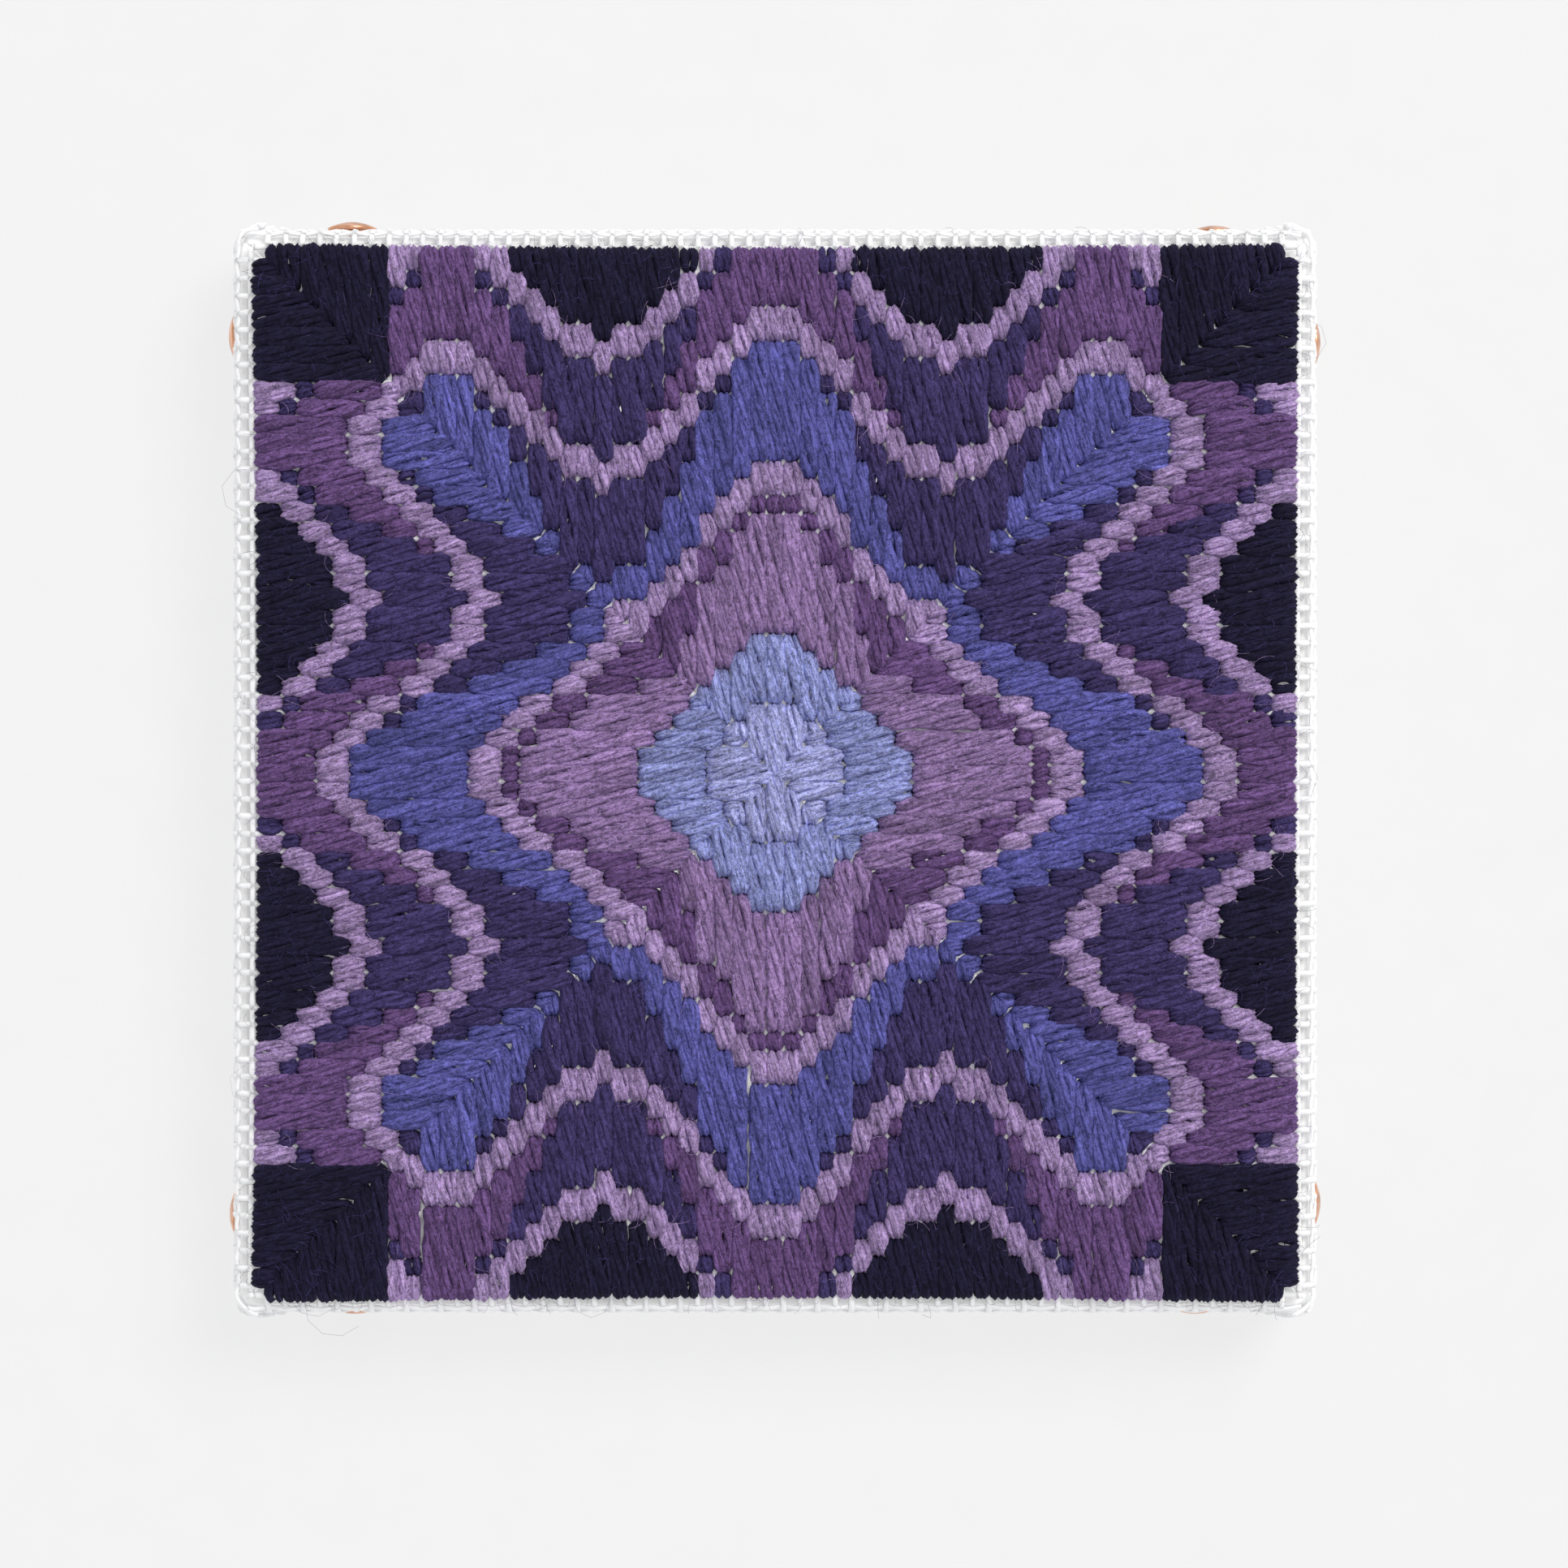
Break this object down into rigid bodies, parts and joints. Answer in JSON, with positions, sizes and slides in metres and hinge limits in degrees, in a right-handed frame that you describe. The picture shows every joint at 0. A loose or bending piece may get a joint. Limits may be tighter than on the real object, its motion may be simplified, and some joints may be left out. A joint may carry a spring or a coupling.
{
  "type": "embroidered canvas panel on a wooden stretcher frame",
  "caption": "Square of wool-embroidered needlepoint canvas with mitred quarters, stretched over a mitred wooden frame and tacked to its outer edges.",
  "frame": {"origin": "middle of the panel in plan, on the back face of the stretcher bars that it lies on", "axes": "+Z out of the embroidered face, +Y towards the top of the picture, +X to its right"},
  "size_m": [0.158, 0.158, 0.0235],
  "materials": {
    "wool": "matt, slightly hairy tapestry wool in several colours",
    "canvas": "stiff white cotton mono canvas",
    "painted_wood": "thin white paint over softwood",
    "copper": "polished copper plating"
  },
  "bodies": {
    "root": {"wool_stitching": "wool", "wool_reverse": "wool", "canvas": "canvas", "bar_right": "painted_wood", "bar_top": "painted_wood", "bar_left": "painted_wood", "bar_bottom": "painted_wood", "tack_right_upper": "copper", "tack_right_lower": "copper", "tack_top_right": "copper", "tack_top_left": "copper", "tack_left_upper": "copper", "tack_left_lower": "copper", "tack_bottom_left": "copper", "tack_bottom_right": "copper"}
  },
  "joints": []
}
